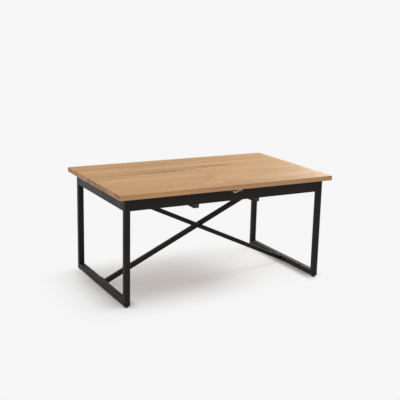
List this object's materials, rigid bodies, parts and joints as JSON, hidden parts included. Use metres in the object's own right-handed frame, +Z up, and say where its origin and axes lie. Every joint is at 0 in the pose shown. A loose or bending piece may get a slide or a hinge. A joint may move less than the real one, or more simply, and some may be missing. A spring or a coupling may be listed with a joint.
{
  "type": "extendable coffee table",
  "caption": "Low oak coffee table on a black steel frame with crossed braces; the top parts in the middle, slides outwards and takes a leaf stored beneath it.",
  "frame": {"origin": "on the floor under the middle of the closed table", "axes": "+X along the table to the right, +Y towards the rear, +Z up"},
  "size_m": [1, 0.6, 0.47],
  "materials": {
    "oak": "matt oil on solid oak staves",
    "tongue_wood": "raw beech",
    "black_steel": "satin black powder coat",
    "zinc_steel": "zinc plated",
    "yellow_zinc": "yellow passivated zinc",
    "black_nylon": "moulded black nylon",
    "white_nylon": "moulded white nylon",
    "rubber": "matt black rubber"
  },
  "bodies": {
    "frame": {"left_front_leg": "black_steel", "left_rear_leg": "black_steel", "right_front_leg": "black_steel", "right_rear_leg": "black_steel", "left_top_rail": "black_steel", "right_top_rail": "black_steel", "left_bottom_rail": "black_steel", "right_bottom_rail": "black_steel", "front_apron": "black_steel", "rear_apron": "black_steel", "front_brace": "black_steel", "rear_brace": "black_steel", "brace_end_plates": "black_steel", "left_leaf_bar": "black_steel", "right_leaf_bar": "black_steel", "corner_brackets": "black_steel", "leaf_bar_cleats": "black_steel", "front_guide_rail": "zinc_steel", "rear_guide_rail": "zinc_steel", "leg_feet": "black_nylon", "leg_top_glides": "black_nylon", "guide_rail_stops": "rubber"},
    "left_top": {"left_half_top": "oak", "left_front_runner": "zinc_steel", "left_rear_runner": "zinc_steel", "left_roller_axles": "zinc_steel", "left_seam_tongue": "tongue_wood", "rear_catch_bracket": "yellow_zinc", "rear_catch_rivet": "yellow_zinc", "front_catch_keeper": "yellow_zinc", "front_keeper_pin": "yellow_zinc"},
    "right_top": {"right_half_top": "oak", "right_front_runner": "zinc_steel", "right_rear_runner": "zinc_steel", "right_roller_axles": "zinc_steel", "right_seam_tongue": "tongue_wood", "front_catch_bracket": "yellow_zinc", "front_catch_rivet": "yellow_zinc", "rear_catch_keeper": "yellow_zinc", "rear_keeper_pin": "yellow_zinc"},
    "leaf": {"extension_leaf": "oak", "leaf_tongues": "tongue_wood"},
    "front_catch": {"front_catch_hook": "yellow_zinc"},
    "rear_catch": {"rear_catch_hook": "yellow_zinc"},
    "left_inner_rollers": {"left_inner_rollers": "white_nylon"},
    "left_outer_rollers": {"left_outer_rollers": "white_nylon"},
    "right_inner_rollers": {"right_inner_rollers": "white_nylon"},
    "right_outer_rollers": {"right_outer_rollers": "white_nylon"}
  },
  "joints": [
    {"name": "left_top_slide", "type": "slide", "parent": "frame", "child": "left_top", "axis": [-1, 0, 0], "range_m": [0, 0.2]},
    {"name": "right_top_slide", "type": "slide", "parent": "frame", "child": "right_top", "axis": [1, 0, 0], "range_m": [0, 0.2]},
    {"name": "leaf_lift", "type": "slide", "parent": "frame", "child": "leaf", "axis": [0, 0, 1], "range_m": [0, 0.012]},
    {"name": "front_catch_turn", "type": "hinge", "parent": "right_top", "child": "front_catch", "pos_m": [0.038, -0.289, 0.443], "axis": [0, 1, 0], "range_deg": [-60, 4.5]},
    {"name": "rear_catch_turn", "type": "hinge", "parent": "left_top", "child": "rear_catch", "pos_m": [-0.038, 0.289, 0.443], "axis": [0, -1, 0], "range_deg": [-60, 4.5]},
    {"name": "left_inner_rollers_roll", "type": "hinge", "parent": "left_top", "child": "left_inner_rollers", "pos_m": [-0.03, 0, 0.432], "axis": [0, 1, 0], "range_deg": [-1041.75, 0]},
    {"name": "left_outer_rollers_roll", "type": "hinge", "parent": "left_top", "child": "left_outer_rollers", "pos_m": [-0.19, 0, 0.432], "axis": [0, 1, 0], "range_deg": [-1041.75, 0]},
    {"name": "right_inner_rollers_roll", "type": "hinge", "parent": "right_top", "child": "right_inner_rollers", "pos_m": [0.03, 0, 0.432], "axis": [0, 1, 0], "range_deg": [0, 1041.75]},
    {"name": "right_outer_rollers_roll", "type": "hinge", "parent": "right_top", "child": "right_outer_rollers", "pos_m": [0.19, 0, 0.432], "axis": [0, 1, 0], "range_deg": [0, 1041.75]}
  ],
  "couplings": [
    {"joint": "left_inner_rollers_roll", "follows": "left_top_slide", "rad_per_m": -90.909},
    {"joint": "left_outer_rollers_roll", "follows": "left_top_slide", "rad_per_m": -90.909},
    {"joint": "right_inner_rollers_roll", "follows": "right_top_slide", "rad_per_m": 90.909},
    {"joint": "right_outer_rollers_roll", "follows": "right_top_slide", "rad_per_m": 90.909}
  ]
}
